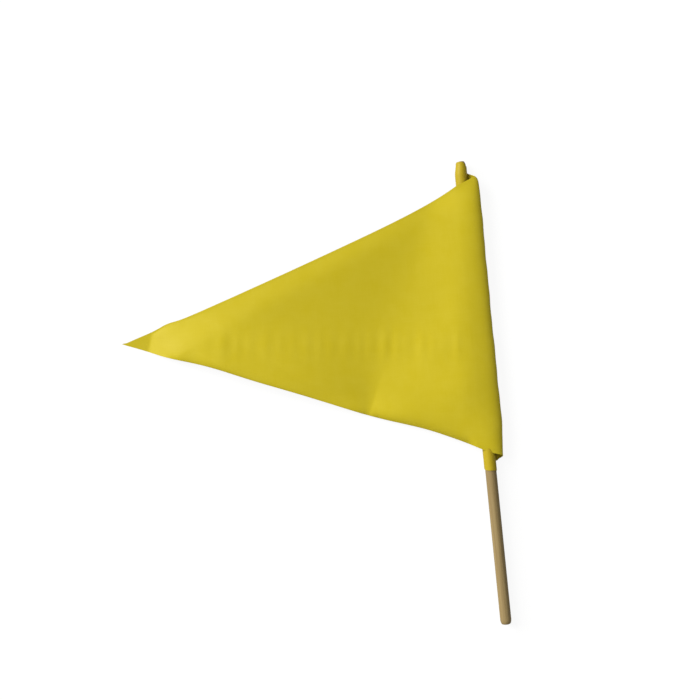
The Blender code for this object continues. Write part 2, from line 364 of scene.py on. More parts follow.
# How far the edges lie inside the straight cut: bells (x, reach, depth) of the lower one, and the
# upper one's depth, its run and power from the tip, and its run from the stick
LOW_DRAWN = ((-340 * MM, 18 * MM, -0.9 * MM), (-288 * MM, 36 * MM, 2.5 * MM),
             (-215 * MM, 50 * MM, 1.2 * MM), (-130 * MM, 30 * MM, -0.7 * MM),
             (-62 * MM, 36 * MM, 2.6 * MM), (-2 * MM, 15 * MM, -2.0 * MM))
TOP_DRAWN = 8.0 * MM
TOP_DRAWN_TIP = 110 * MM
TOP_DRAWN_POWER = 1.4
TOP_DRAWN_STICK = 36 * MM

# A small corner on the top edge (distance from the tip, reach, height), what the folds take up of the
# front layer's length, and how far its end lies towards the lower edge's side, over what run
TOP_CORNER = (50 * MM, 11 * MM, 1.7 * MM)
TAKE_UP = 1.6 * MM
TIP_DROP = 0.9 * MM
TIP_DROP_RUN = 150 * MM

# The fold line is drawn in at its foot, stands out at its head, is rounded off at its top corner and
# ripples a little, each ripple a (height, length, phase). The fold's upper half is a rounded quarter
# of this power, and its lower half drifts along from this far right of the stick's middle
FOLD_FOOT_IN = 2.3 * MM
FOLD_FOOT_REACH = 22 * MM
FOLD_HEAD_OUT = 1.2 * MM
FOLD_HEAD_Y = 310 * MM
FOLD_HEAD_RUN = 190 * MM
FOLD_POWER = 2.25
FOLD_CORNER_IN = 4.5 * MM
FOLD_CORNER_REACH = 2.6 * MM
FOLD_RIPPLES = ((0.18 * MM, 11 * MM, 0), (0.14 * MM, 4.3 * MM, 1))
FOLD_UNDER_START = 2 * MM

# The wound cloth is pulled up to the stick's end by a bell (place, reach, height), and cut off at its
# corner and pulled square at its foot by bells (reach, depth). Near both ends its hoist edge goes
# further round the stick
WOUND_UP = (13 * MM, 9 * MM, 4.5 * MM)
WOUND_CORNER = (3 * MM, 5.5 * MM)
WOUND_DOWN = (7 * MM, 2.8 * MM)
EDGE_TURN = math.radians(38)
EDGE_TURN_IN = 8 * MM
EDGE_TURN_REACH = 22 * MM

# How far the fold closes towards its top corner, over what reach, and the way that the halves run
CLOSE_SHARE = 0.85
CLOSE_REACH = 24 * MM
CLOSE_ALONG = (0.895, 0.445)

# The stick's top end is whittled on its left side
WHITTLE_LENGTH = 16 * MM
WHITTLE_SHARE = 0.18
WHITTLE_SHIFT = 1.1 * MM

# The front layer's height over lying flat is at least this
LEAST_HEIGHT = 0.02 * MM

# The floor: half its side, its gap under the flag, how far it falls away past the fold, and where
FLOOR_HALF = 3.0
FLOOR_GAP = 0.05 * MM
FLOOR_FALL = 3.2 * MM
FLOOR_FALL_SPAN = (10 * MM, 30 * MM)

# The floor's colour and glow, the light's width and colour, and how near the camera still sees
FLOOR_SHADE = (0.14, 0.14, 0.14)
FLOOR_GLOW = 0.9
LIGHT_WIDTH = math.radians(42)
LIGHT_COLOUR = (1.0, 0.985, 0.96)
CAMERA_NEAR = 10 * MM

# Fineness of the surfaces and of the tables along the cloth
ACROSS = 136
WRAP_COLUMNS = 56
FOLD_COLUMNS = 60
FRONT_COLUMNS = 300
FAN_WIDTH = 3 * MM
EDGE_CROWDING = 0.35
ARC_STEPS = 400
STRIP_STEPS = 50
FRONT_STEPS = 3000
AREA_STEPS = 400
STICK_SIDES = 72
STICK_ROUND_STEPS = 14
STICK_SHAFT_STEPS = 60
STICK_SHARP_ANGLE = math.radians(40)

# Looks of the cloth: the threads' spacing, the slubs' scales along and across a thread, the mottling's
# scale, and the shares of weave, slubs and mottling in the relief
THREAD = 0.45 * MM
SLUB_SCALES = (30.0, 900.0)
MOTTLE_SCALE = 60.0
CLOTH_RELIEF = (0.3, 0.6, 0.6)

# Rubbed patches: shares of mottling and slubs in them, between which values they come in, and how much
# of the worn colour they show
RUBBED_SHARES = (0.5, 0.27)
RUBBED_SPAN = (0.35, 0.75)
RUBBED_COVER = 0.6

# Looks of the wood: between which values its grain lines come in, shares of lines and pores in the
# colour, and of grain and pores in the relief
GRAIN_SPAN = (0.38, 0.62)
WOOD_SHARES = (0.7, 0.3)
WOOD_RELIEF = (0.6, 0.4)


class ClothForm:
    """The whole cloth as a surface of (distance from the hoist edge, share of the way up)."""

    def __init__(self, cloth):
        self.cloth = cloth
        half = cloth.thickness / 2
        self.wrap_radius = WRAP_OUTSIDE - half
        self.lie_z = -self.wrap_radius
        self.fold_x = HOIST_HIGH.x - half
        self.fold_z = PANEL_HINGE["pos_m"][2]
        self.fold_height = self.fold_z - self.lie_z
        self.crown_x = -(WRAP_OUTSIDE + cloth.crown_past)
        self.crown_height = 2 * self.fold_height
        self.hoist_edge = HOIST_TOP_Y - HOIST_FOOT_Y
        self.tip_y = HOIST_FOOT_Y + cloth.tip_rise
        self.top_cosine = cloth.length / math.hypot(cloth.length, self.hoist_edge - cloth.tip_rise)
        self.lay_out_section()

    def lay_out_section(self):
        """Tables of x, z and lift along the cloth, from its hoist edge to its tip.

        The stretches are an arc round the stick, a level strip, a quarter ellipse up to the fold
        line, a wider and squarer quarter up to the crown, and the front layer measured along the
        tip's own height. Lift is 0 before the fold line and 1 from the crown on.
        """
        turns = np.linspace(self.cloth.hoist_angle, -math.pi, ARC_STEPS)
        bends = np.linspace(0, math.pi / 2, ARC_STEPS)
        strip_x = np.linspace(0, self.fold_x - self.cloth.fold_under, STRIP_STEPS)
        under_x = self.fold_x - self.cloth.fold_under * (1 - np.sin(bends))
        rounded = 2 / FOLD_POWER
        past_crown = np.clip(np.cos(bends), 0, 1) ** rounded
        over_x = self.crown_x + (self.fold_x - self.crown_x) * past_crown
        over_lift = np.sin(bends) ** rounded
        front_x = np.linspace(self.crown_x, self.crown_x - self.cloth.length, FRONT_STEPS)
        wrap = (self.wrap_radius * np.sin(turns), self.wrap_radius * np.cos(turns), 0 * turns)
        strip = (strip_x, 0 * strip_x + self.lie_z, 0 * strip_x)
        under = (under_x, self.fold_z - self.fold_height * np.cos(bends), 0 * bends)
        over = (over_x, self.fold_z + self.fold_height * over_lift, over_lift)
        x, z, lift = (np.concatenate(parts) for parts in zip(wrap, strip, under, over))
        along = np.concatenate([[0], np.cumsum(np.hypot(np.diff(x), np.diff(z)))])
        self.wrap_foot = along[ARC_STEPS - 1]
        self.wrap_end = along[ARC_STEPS + STRIP_STEPS - 1]
        self.fold_start = along[ARC_STEPS + STRIP_STEPS + ARC_STEPS - 1]
        self.front_start = along[-1]
        front_z = self.lie_z + self.main_folds(front_x, 0 * front_x + self.tip_y)
        steps = np.hypot(np.diff(front_x), np.diff(front_z))
        self.along = np.concatenate([along, along[-1] + np.cumsum(steps)])
        self.section_x = np.concatenate([x, front_x[1:]])
        self.section_z = np.concatenate([z, front_z[1:]])
        self.lift = np.concatenate([lift, np.ones(len(steps))])

    def above_low_edge(self, x, y):
        """Height in y over the lower edge, where the front layer is at this x."""
        cut = self.front_start + self.crown_x - x
        return y - self.bottom_edge(cut)

    def main_folds(self, x, y):
        """Height over lying flat of the front layer: facets that meet in soft creases.

        The lowest of a plateau, a long slope and their fall to the top edge meets the slope down
        from the stick in a crease that is sharp at the lower edge and opens out upwards. A pinch
        at the crease's foot is taken off as an exponential, swells and hollows are added, a band
        along the lower left settles, what lies past it is let down a little, the tuck is taken
        off, and the tip's slope and lying flat cut off the end.
        """
        outer = smooth_min(facet(PLATEAU, x, y), facet(LONG_SLOPE, x, y), PLATEAU_WIDTH)
        cut = self.front_start + self.crown_x - x
        below_top = (self.straight_top(cut) - y) * self.top_cosine
        top = outer + TOP_SLOPE * (below_top - TOP_REACH + TOP_TURN * x)
        outer = smooth_min(outer, top, TOP_WIDTH)
        gain = STICK_SLOPES[1] - STICK_SLOPES[0]
        slope = STICK_SLOPES[0] + gain * eased((y - STICK_SLOPE_Y) / STICK_SLOPE_RUN)
        stick_side = self.crown_height + slope * (x - self.crown_x)
        width = CREASE_FOOT_WIDTH + CREASE_HEAD_WIDTH * eased((y - CREASE_FOOT_Y) / CREASE_RUN)
        draped = smooth_max(outer, stick_side, width)
        up = self.above_low_edge(x, y)
        beside = np.hypot(x - PINCH_X - PINCH_LEAN * up, PINCH_BLUNT)
        draped = draped - PINCH_DEPTH * np.exp(-beside / PINCH_WIDTH - np.maximum(up, 0) / PINCH_RISE)
        draped = draped + swells(x, y) - self.settling(x, y) - self.tuck(x, up)
        foot_x = self.crown_x - (self.cloth.length - self.front_start) + FLAT_TIP
        tip = TIP_SLOPE * (x - foot_x + TIP_TURN * (y - self.tip_y))
        return smooth_max(smooth_min(draped, tip, TIP_WIDTH), 0 * x, FLOOR_WIDTH)

    def settling(self, x, y):
        """Drop of the settled band, and beyond it a drop that grows away from the crown.

        Both come in by eased steps along the diagonal, and the band goes out by another.
        """
        diagonal = SETTLE_ACROSS[0] * x + SETTLE_ACROSS[1] * y
        settled, risen, let_down = (
            eased((diagonal - place) / run) for place, run in (*SETTLE_SPANS, LET_DOWN_SPAN)
        )
        away = np.maximum(self.crown_x - x, 0)
        return SETTLE_DEPTH * settled * (1 - risen) + LET_DOWN * away * let_down

    def tuck(self, x, up):
        """Drop of the small tuck near the tip, a slope below its line that fades along it."""
        below = smooth_max(TUCK_RISE * (x - TUCK_START) - up, 0 * x, TUCK_WIDTH)
        return TUCK_SLOPE * bump(x - TUCK_PLACE, TUCK_REACH) * np.minimum(below, TUCK_BELOW)

    def rims(self, x, y, cut):
        """Drop of the curled lower edge and of the top edge's slight curl, which is a rise.

        The lower edge's is an exponential of the height over that edge. It starts a little way in
        from the tip, is deeper beyond the crease and shallow over the stick, by eased steps. The
        top edge's is a bell of the depth below that edge, and fades out at the tip.
        """
        up = np.maximum(self.above_low_edge(x, y), 0)
        started, right, over_stick = (
            eased((x - place) / RIM_RUN + 0.5) for place in (RIM_START, RIM_CHANGE, RIM_STICK)
        )
        left_drop = RIM_LEFT[0] * started * (1 - right) * np.exp(-up / RIM_LEFT[1])
        right_drop = RIM_RIGHT[0] * right * (1 - (1 - RIM_STICK_SHARE) * over_stick)
        down = np.maximum(self.top_edge(cut)[:, None] - y, 0)
        from_tip = eased((self.cloth.length - cut - TOP_RIM_END) / TOP_RIM_FADE)[:, None]
        top_drop = TOP_RIM[0] * from_tip * bump(down, TOP_RIM[1])
        return left_drop + right_drop * np.exp(-up / RIM_RIGHT[1]) + top_drop

    def straight_top(self, cut):
        """The top edge as cut, straight from the top hoist corner to the tip."""
        return HOIST_TOP_Y - cut * (self.hoist_edge - self.cloth.tip_rise) / self.cloth.length

    def tip_drop(self, cut):
        """How far the end of the cloth lies towards the lower edge's side, by a square."""
        return TIP_DROP * np.clip((cut - self.cloth.length) / TIP_DROP_RUN + 1, 0, 1) ** 2

    def top_edge(self, cut):
        """The top edge as it lies: drawn in along its middle, with a small corner near the tip.

        What it is drawn in by comes up from the tip and from the stick as exponentials, and the
        corner is a bell. Round the stick, bells pull it up to the stick's end and cut its corner.
        """
        from_tip = np.maximum(self.cloth.length - cut, 0)
        from_stick = np.maximum(cut - self.front_start, 0)
        drawn = 1 - np.exp(-((from_tip / TOP_DRAWN_TIP) ** TOP_DRAWN_POWER))
        drawn = TOP_DRAWN * drawn * (1 - np.exp(-from_stick / TOP_DRAWN_STICK))
        place, reach, tall = TOP_CORNER
        wound, wound_reach, rise = WOUND_UP
        corners = tall * bump(from_tip - place, reach) + rise * bump(cut - wound, wound_reach)
        corners = corners - WOUND_CORNER[1] * bump(cut, WOUND_CORNER[0])
        return self.straight_top(cut) - drawn + corners - self.tip_drop(cut)

    def bottom_edge(self, cut):
        """The lower edge as it lies: straight, with bells a little inside or outside the cut.

        Another bell pulls the wound cloth's edge nearly square to the stick.
        """
        x = self.crown_x + self.front_start - cut
        drawn = sum(depth * bump(x - place, reach) for place, reach, depth in LOW_DRAWN)
        drawn = drawn + WOUND_DOWN[1] * bump(cut, WOUND_DOWN[0])
        return HOIST_FOOT_Y + cut * self.cloth.tip_rise / self.cloth.length + drawn - self.tip_drop(cut)

    def points(self, cut, share):
        """Places of the cloth's middle at these distances (columns) and shares (rows).

        y runs evenly from the lower to the top edge and x follows the section. z is the section's
        up to the fold line, and from there it is on its way, by the lift, from the fold line to
        the front layer's height: folds less curled edges, with the crinkles on top.
        """
        low, high = self.bottom_edge(cut), self.top_edge(cut)
        y = low[:, None] + (high - low)[:, None] * share[None, :]
        x = np.repeat(np.interp(cut, self.along, self.section_x)[:, None], len(share), axis=1)
        section_z = np.interp(cut, self.along, self.section_z)[:, None]
        lift = np.interp(cut, self.along, self.lift)[:, None]
        front = np.maximum(cut - self.front_start, 0)[:, None]
        x = x + TAKE_UP * front / (self.cloth.length - self.front_start)
        height = self.main_folds(x, y) - self.rims(x, y, cut)
        height = height + eased(front / CRINKLE_START) * crinkles(x, y)
        height = np.maximum(height, LEAST_HEIGHT)
        lifted = self.fold_z + (self.lie_z + height - self.fold_z) * lift
        z = np.where(lift > 0, lifted, section_z + 0 * y)
        x, z = self.turned_edge(x, y, z, cut[:, None])
        x, z = self.closed_corner(x, z, high[:, None] - y, cut[:, None], lift)
        x = x + self.fold_drift(x, y, cut, lift)
        x, z = whittled(x, y, z)
        return np.stack([x, y, z], axis=2)

    def turned_edge(self, x, y, z, cut):
        """Turns the hoist edge further round the stick near the wound cloth's two ends.

        The angle is a bell about each end, times the square of the way back up to the edge.
        """
        near_foot = bump(y - HOIST_FOOT_Y - EDGE_TURN_IN, EDGE_TURN_REACH)
        near_head = bump(y - HOIST_TOP_Y + EDGE_TURN_IN, EDGE_TURN_REACH)
        near_edge = np.clip(1 - cut / self.wrap_foot, 0, 1) ** 2
        turn = EDGE_TURN * (near_foot + near_head) * near_edge
        return x * np.cos(turn) + z * np.sin(turn), z * np.cos(turn) - x * np.sin(turn)

    def closed_corner(self, x, z, below_top, cut, lift):
        """Draws the fold's two halves together towards its top corner.

        There the lower half keeps to the stick for a quarter turn more and then runs straight to
        the fold line. The upper half follows the fold line, less and less up to the crown.
        """
        quarter = self.wrap_radius * math.pi / 2
        past = np.clip(cut - self.wrap_foot, 0, self.fold_start - self.wrap_foot)
        turn = np.minimum(past, quarter) / self.wrap_radius
        onward = np.maximum(past - quarter, 0)
        closed_x = self.wrap_radius * np.sin(turn) + CLOSE_ALONG[0] * onward
        closed_z = CLOSE_ALONG[1] * onward - self.wrap_radius * np.cos(turn)
        share = CLOSE_SHARE * bump(below_top, CLOSE_REACH) * (1 - lift) * (past > 0)
        open_x = np.where(lift > 0, self.fold_x, x)
        open_z = np.where(lift > 0, self.fold_z, z)
        return x + share * (closed_x - open_x), z + share * (closed_z - open_z)

    def fold_drift(self, x, y, cut, lift):
        """Shift in x of the turned fold, largest at the fold line and fading out to both sides.

        It is a bell at the fold's foot, an eased step towards its head, an exponential at its top
        corner and a few sines as ripples.
        """
        under = eased((x - FOLD_UNDER_START) / (self.fold_x - FOLD_UNDER_START))
        under = under * (cut > self.wrap_end)[:, None]
        over = np.clip((x - self.crown_x) / (self.fold_x - self.crown_x), 0, 1)
        near = np.where(lift > 0, over, under)
        ends_low, ends_high = self.bottom_edge(cut)[:, None], self.top_edge(cut)[:, None]
        foot = -FOLD_FOOT_IN * bump(y - ends_low, FOLD_FOOT_REACH)
        head = FOLD_HEAD_OUT * eased((y - FOLD_HEAD_Y) / FOLD_HEAD_RUN)
        corner = -FOLD_CORNER_IN * np.exp(-(ends_high - y) / FOLD_CORNER_REACH)
        ripple = sum(tall * np.sin(y / length + phase) for tall, length, phase in FOLD_RIPPLES)
        return near * (foot + head + corner + ripple)


def facet(form, x, y):
    """Height of a level or sloping plane given by (place, height there, rise along x and y)."""
    (place_x, place_y), height, along_x, along_y = form
    return height + along_x * (x - place_x) + along_y * (y - place_y)


def swells(x, y):
    """Sum of the swells and hollows, each a bell along and across its own turned axes."""
    total = 0 * x
    for place_x, place_y, tall, reach, width, turn in SWELLS:
        off_x, off_y = x - place_x * MM, y - place_y * MM
        along = (off_x * math.cos(turn) + off_y * math.sin(turn)) / (reach * MM)
        across = (off_y * math.cos(turn) - off_x * math.sin(turn)) / (width * MM)
        total = total + tall * MM * np.exp(-along * along - across * across)
    return total


def crinkles(x, y):
    """A row of short upright crinkles, bells across and along each one."""
    row_y, row_rise = CRINKLE_ROW
    off_y = y - row_y - row_rise * x
    total = 0 * x
    for place_x, tall, width in CRINKLES:
        total = total + tall * MM * bump(x - place_x * MM - CRINKLE_LEAN * off_y, width * MM)
    return total * bump(off_y, CRINKLE_LENGTH)


def whittled(x, y, z):
    """Narrows sections of the stick and shifts them right, by an eased step to its top end."""
    near_end = eased((y - STICK_LENGTH + WHITTLE_LENGTH) / WHITTLE_LENGTH)
    kept = 1 - WHITTLE_SHARE * near_end
    return x * kept + WHITTLE_SHIFT * near_end, z * kept


def across_shares():
    """Shares of the way up at which the rows lie: even less a sine, so closer at the edges."""
    even = np.linspace(0, 1, ACROSS)
    return even - EDGE_CROWDING * np.sin(2 * math.pi * even) / (2 * math.pi)


def grid_faces(columns, rows, first):
    """Corner numbers of the quads of a grid whose points are numbered down each column."""
    corner = first + np.arange(columns - 1)[:, None] * rows + np.arange(rows - 1)[None, :]
    return np.stack([corner, corner + rows, corner + rows + 1, corner + 1], axis=2).reshape(-1, 4)


def mesh_of(name, points, quads, triangles, plane, normals):
    """A mesh with quads and triangles, a map of flat cloth places, and set corner normals."""
    mesh = bpy.data.meshes.new(name)
    corners = np.concatenate([quads.ravel(), triangles.ravel()])
    starts = np.concatenate([np.arange(len(quads)) * 4, len(quads) * 4 + np.arange(len(triangles)) * 3])
    mesh.vertices.add(len(points))
    mesh.vertices.foreach_set("co", points.ravel())
    mesh.loops.add(len(corners))
    mesh.loops.foreach_set("vertex_index", corners)
    mesh.polygons.add(len(starts))
    mesh.polygons.foreach_set("loop_start", starts)
    mesh.update(calc_edges=True)
    mesh.shade_smooth()
    places = mesh.uv_layers.new(name="flat")
    places.data.foreach_set("uv", plane[corners].ravel())
    mesh.normals_split_custom_set(normals.reshape(-1, 3))
    return mesh


def add_piece(name, mesh, finish):
    """Adds an object with this mesh and material, unmoved."""
    piece = bpy.data.objects.new(name, mesh)
    bpy.context.collection.objects.link(piece)
    mesh.materials.append(finish)
    return piece


def middle_and_normals(form, cuts, share):
    """The cloth's middle surface at these distances and shares, and its normals."""
    middle = form.points(cuts, share)
    along = np.gradient(middle, cuts, axis=0)
    across = np.gradient(middle, np.arange(len(share)), axis=1)
    normal = np.cross(across, along)
    return middle, normal / np.linalg.norm(normal, axis=2, keepdims=True)


def flat_places(form, cuts, share):
    """Where the grid's points lie on the flat cloth: distance from the hoist edge, and height."""
    low, high = form.bottom_edge(cuts)[:, None], form.top_edge(cuts)[:, None]
    flat_y = low + share[None, :] * (high - low)
    return np.stack([np.repeat(cuts[:, None], len(share), axis=1), flat_y], axis=2).reshape(-1, 2)


def cloth_piece(name, form, ends, all_cuts, finish, tip=False):
    """A closed shell of cloth between two distances along it.

    The middle surface and its normals are worked out on the whole row of columns, so that pieces
    that meet have the same normals at their shared edge. The two faces lie half the thickness to
    each side of it, joined by a rim, and at the tip both run to one point.
    """
    share = across_shares()
    middle, normal = middle_and_normals(form, all_cuts, share)
    first, last = np.searchsorted(all_cuts, ends)
    kept = slice(first, last + 1)
    middle, normal = middle[kept], normal[kept]
    columns, rows = middle.shape[:2]
    half = form.cloth.thickness / 2
    outer, inner = middle + normal * half, middle - normal * half
    points = np.concatenate([outer.reshape(-1, 3), inner.reshape(-1, 3)])
    normals = np.concatenate([normal.reshape(-1, 3), -normal.reshape(-1, 3)])
    flat = np.tile(flat_places(form, all_cuts[kept], share), (2, 1))
    count = columns * rows
    sheets = np.concatenate([grid_faces(columns, rows, 0)[:, ::-1], grid_faces(columns, rows, count)])
    loop, following = rim_loop(columns, rows, tip)
    rim = np.stack([loop + count, following + count, following, loop], axis=1)
    quads = np.concatenate([sheets, rim])
    triangles = np.zeros((0, 3), int)
    if tip:
        points, flat, normals, triangles, closing = tip_fan(form, points, flat, normals, columns, rows)
        quads = np.concatenate([quads, closing])
    corner_normals = normals[np.concatenate([quads.ravel(), triangles.ravel()])]
    corner_normals[sheets.size:quads.size] = rim_normals(points[quads[len(sheets):]])
    return add_piece(name, mesh_of(name, points, quads, triangles, flat, corner_normals), finish)


def rim_normals(sides):
    """Normals square to the rim's quads, once for each corner."""
    square = np.cross(sides[:, 2] - sides[:, 0], sides[:, 3] - sides[:, 1])
    return np.repeat(square / np.linalg.norm(square, axis=1, keepdims=True), 4, axis=0)


def rim_loop(columns, rows, tip):
    """Point numbers round the grid's edge, and the number that follows each.

    The loop is open at the tip's column where the tip is added.
    """
    low = np.arange(columns) * rows
    high = low + rows - 1
    start = np.arange(rows)
    if tip:
        loop = np.concatenate([low[::-1], start[1:-1], high])
        return loop[:-1], loop[1:]
    end = (columns - 1) * rows + np.arange(rows)
    loop = np.concatenate([low[::-1][:-1], start[:-1], high[:-1], end[::-1][:-1]])
    return loop, np.roll(loop, -1)


def tip_fan(form, points, flat, normals, columns, rows):
    """Adds the tip's two points, the fans of triangles to them and the two last rim faces."""
    tip_x = np.interp(form.cloth.length, form.along, form.section_x)
    half = form.cloth.thickness / 2
    number = len(points)
    tips = np.array([(tip_x, form.tip_y, form.lie_z + half), (tip_x, form.tip_y, form.lie_z - half)])
    up = np.array([(0.0, 0.0, 1.0), (0.0, 0.0, -1.0)])
    count = columns * rows
    edge = (columns - 1) * rows + np.arange(rows)
    top = np.stack([edge[:-1], edge[1:], np.full(rows - 1, number)], axis=1)
    under = np.stack([edge[1:] + count, edge[:-1] + count, np.full(rows - 1, number + 1)], axis=1)
    closing = np.array([
        (edge[-1] + count, number + 1, number, edge[-1]),
        (number + 1, edge[0] + count, edge[0], number),
    ])
    place = np.array([(form.cloth.length, form.tip_y)] * 2)
    return (
        np.concatenate([points, tips]),
        np.concatenate([flat, place]),
        np.concatenate([normals, up]),
        np.concatenate([top, under]),
        closing,
    )


def cloth_columns(form):
    """Distances from the hoist edge of every column of the cloth, from its edge to near its tip."""
    tip_angle = form.hoist_edge / form.cloth.length
    front_end = form.cloth.length - FAN_WIDTH / tip_angle
    wrap = np.linspace(0, form.wrap_end, WRAP_COLUMNS)
    fold = np.linspace(form.wrap_end, form.front_start, FOLD_COLUMNS)[1:]
    front = np.linspace(form.front_start, front_end, FRONT_COLUMNS)[1:]
    return np.concatenate([wrap, fold, front])


def flat_share(form, start, end):
    """Flat area of the cut cloth between two distances from the hoist edge."""
    lengths = np.linspace(start, end, AREA_STEPS)
    widths = form.top_edge(lengths) - form.bottom_edge(lengths)
    return float(np.sum((widths[1:] + widths[:-1]) / 2 * np.diff(lengths)))


class Value:
    """A node socket that adds Math nodes when it is used in an expression."""

    def __init__(self, shader, socket):
        self.shader = shader
        self.socket = socket

    def _math(self, operation, first, second=0.0):
        return self.shader.node("ShaderNodeMath", {"operation": operation}, {0: first, 1: second})

    def __add__(self, other):
        return self._math("ADD", self, other)

    __radd__ = __add__

    def __sub__(self, other):
        return self._math("SUBTRACT", self, other)

    def __rsub__(self, other):
        return self._math("SUBTRACT", other, self)

    def __mul__(self, other):
        return self._math("MULTIPLY", self, other)

    __rmul__ = __mul__

    def sine(self):
        """The sine of the value, which is an angle."""
        return self._math("SINE", self)

    def neighbour(self, output):
        """Another output of the same node."""
        return Value(self.shader, self.socket.node.outputs[output])


class Shader:
    """A material's nodes, with one method that adds any node and returns its output."""

    def __init__(self, name, **constants):
        self.material = bpy.data.materials.new(name)
        self.material.use_nodes = True
        self.tree = self.material.node_tree
        self.principled = self.tree.nodes["Principled BSDF"]
        for setting, value in constants.items():
            socket = setting.replace("_", " ").title().replace("Ior", "IOR")
            self.principled.inputs[socket].default_value = value

    def node(self, kind, settings=None, inputs=None, output=0):
        """Adds a node, sets it up, feeds its inputs and returns one of its outputs."""
        made = self.tree.nodes.new(kind)
        for name, value in (settings or {}).items():
            if name == "stops":
                self._set_stops(made.color_ramp, value)
            else:
                setattr(made, name, value)
        for socket, value in (inputs or {}).items():
            self.link(value, made.inputs[socket])
        return Value(self, made.outputs[output])

    def link(self, value, socket):
        """Joins a value to an input, or sets the input where the value is a constant."""
        if isinstance(value, Value):
            self.tree.links.new(value.socket, socket)
        else:
            socket.default_value = value

    def feed(self, name, value):
        """Feeds one of the surface's own inputs."""
        self.link(value, self.principled.inputs[name])

    def mixed(self, share, first, second):
        """Colour between two colours. The mix node has its colours at inputs 6 and 7, output 2."""
        settings = {"data_type": "RGBA", "clamp_factor": True}
        return self.node("ShaderNodeMix", settings, {0: share, 6: first, 7: second}, output=2)

    def ramp(self, value, span):
        """0 below the first value of the span, 1 above the second and straight between them."""
        stops = list(zip(span, ((0, 0, 0, 1), (1, 1, 1, 1))))
        return self.node("ShaderNodeValToRGB", {"stops": stops}, {0: value})

    def roughen(self, marks, least, spread):
        """Roughness that goes up with these marks."""
        self.feed("Roughness", least + spread * marks)

    def relief(self, height, strength, depth):
        """Feeds a height to the normal as fine relief."""
        inputs = {"Strength": strength, "Distance": depth, "Height": height}
        self.feed("Normal", self.node("ShaderNodeBump", None, inputs))

    def places(self, source, scale):
        """Texture coordinates stretched by a scale along each axis."""
        vector = self.node("ShaderNodeTexCoord", output=source)
        return self.node("ShaderNodeMapping", None, {"Vector": vector, "Scale": scale})

    def stick_noise(self, across, along, detail=3.0, rough=0.55):
        """Noise with one scale across the stick and another along it."""
        return self.noise(self.places("Object", (across, along, across)), 1.0, detail, rough)

    def noise(self, vector, scale, detail=3.0, rough=0.55):
        """Soft noise at these texture coordinates."""
        inputs = {"Vector": vector, "Scale": scale, "Detail": detail, "Roughness": rough}
        return self.node("ShaderNodeTexNoise", None, inputs)

    @staticmethod
    def _set_stops(ramp, stops):
        """Gives a colour ramp these stops, each a (place, colour)."""
        while len(ramp.elements) < len(stops):
            ramp.elements.new(1.0)
        for element, (place, value) in zip(ramp.elements, stops):
            element.position = place
            element.color = value


def opaque(colour):
    """A colour with full alpha."""
    return (*colour, 1.0)


def cloth_finish(name, cloth, kept=(1, 1, 1)):
    """Coated plain weave: fine threads, faint slubs along both of them, and soft mottling."""
    # kept multiplies both colours; below 1, as for the wound cloth, that is painted shade
    colour, worn = (opaque(np.multiply(shade, kept)) for shade in (cloth.colour, cloth.worn_colour))
    shader = Shader(name, roughness=0.5, specular_ior_level=0.22, sheen_weight=0.03, sheen_roughness=0.5)
    flat = shader.node("ShaderNodeTexCoord", output="UV")
    along = shader.node("ShaderNodeSeparateXYZ", None, {0: flat})
    turn = 2 * math.pi / THREAD
    weave = (along * turn).sine() * (along.neighbour(1) * turn).sine()
    coarse, fine = SLUB_SCALES
    long_slubs = shader.noise(shader.places("UV", (coarse, fine, 1.0)), 1.0)
    wide_slubs = shader.noise(shader.places("UV", (fine, coarse, 1.0)), 1.0)
    mottle = shader.noise(shader.places("UV", (1.0, 1.0, 1.0)), MOTTLE_SCALE, detail=4.0)
    slubs = long_slubs + wide_slubs
    rubbed = shader.ramp(mottle * RUBBED_SHARES[0] + slubs * RUBBED_SHARES[1], RUBBED_SPAN)
    shader.feed("Base Color", shader.mixed(rubbed * RUBBED_COVER, colour, worn))
    shader.roughen(mottle, least=0.42, spread=0.14)
    height = weave * CLOTH_RELIEF[0] + slubs * CLOTH_RELIEF[1] + mottle * CLOTH_RELIEF[2]
    shader.relief(height, strength=0.25, depth=0.1 * MM)
    return shader.material


def wood_finish(stick):
    """Turned softwood: long grain lines, short pores and a little handling wear."""
    shader = Shader("turned_wood", roughness=0.6, specular_ior_level=0.35)
    grain = shader.stick_noise(across=420.0, along=9.0, detail=5.0, rough=0.6)
    pores = shader.stick_noise(across=1900.0, along=60.0, detail=2.0)
    wear = shader.stick_noise(across=60.0, along=18.0)
    share = shader.ramp(grain, GRAIN_SPAN) * WOOD_SHARES[0] + pores * WOOD_SHARES[1]
    shader.feed("Base Color", shader.mixed(share, opaque(stick.dark_wood), opaque(stick.pale_wood)))
    shader.roughen(wear, least=0.48, spread=0.2)
    height = grain * WOOD_RELIEF[0] + pores * WOOD_RELIEF[1]
    shader.relief(height, strength=0.3, depth=0.15 * MM)
    return shader.material


def wire_finish(staples):
    """Drawn steel wire with fine marks."""
    shader = Shader("staple_wire", metallic=1.0, roughness=0.3)
    marks = shader.stick_noise(across=900.0, along=900.0)
    shader.feed("Base Color", opaque(staples.colour))
    shader.roughen(marks, least=0.22, spread=0.2)
    return shader.material


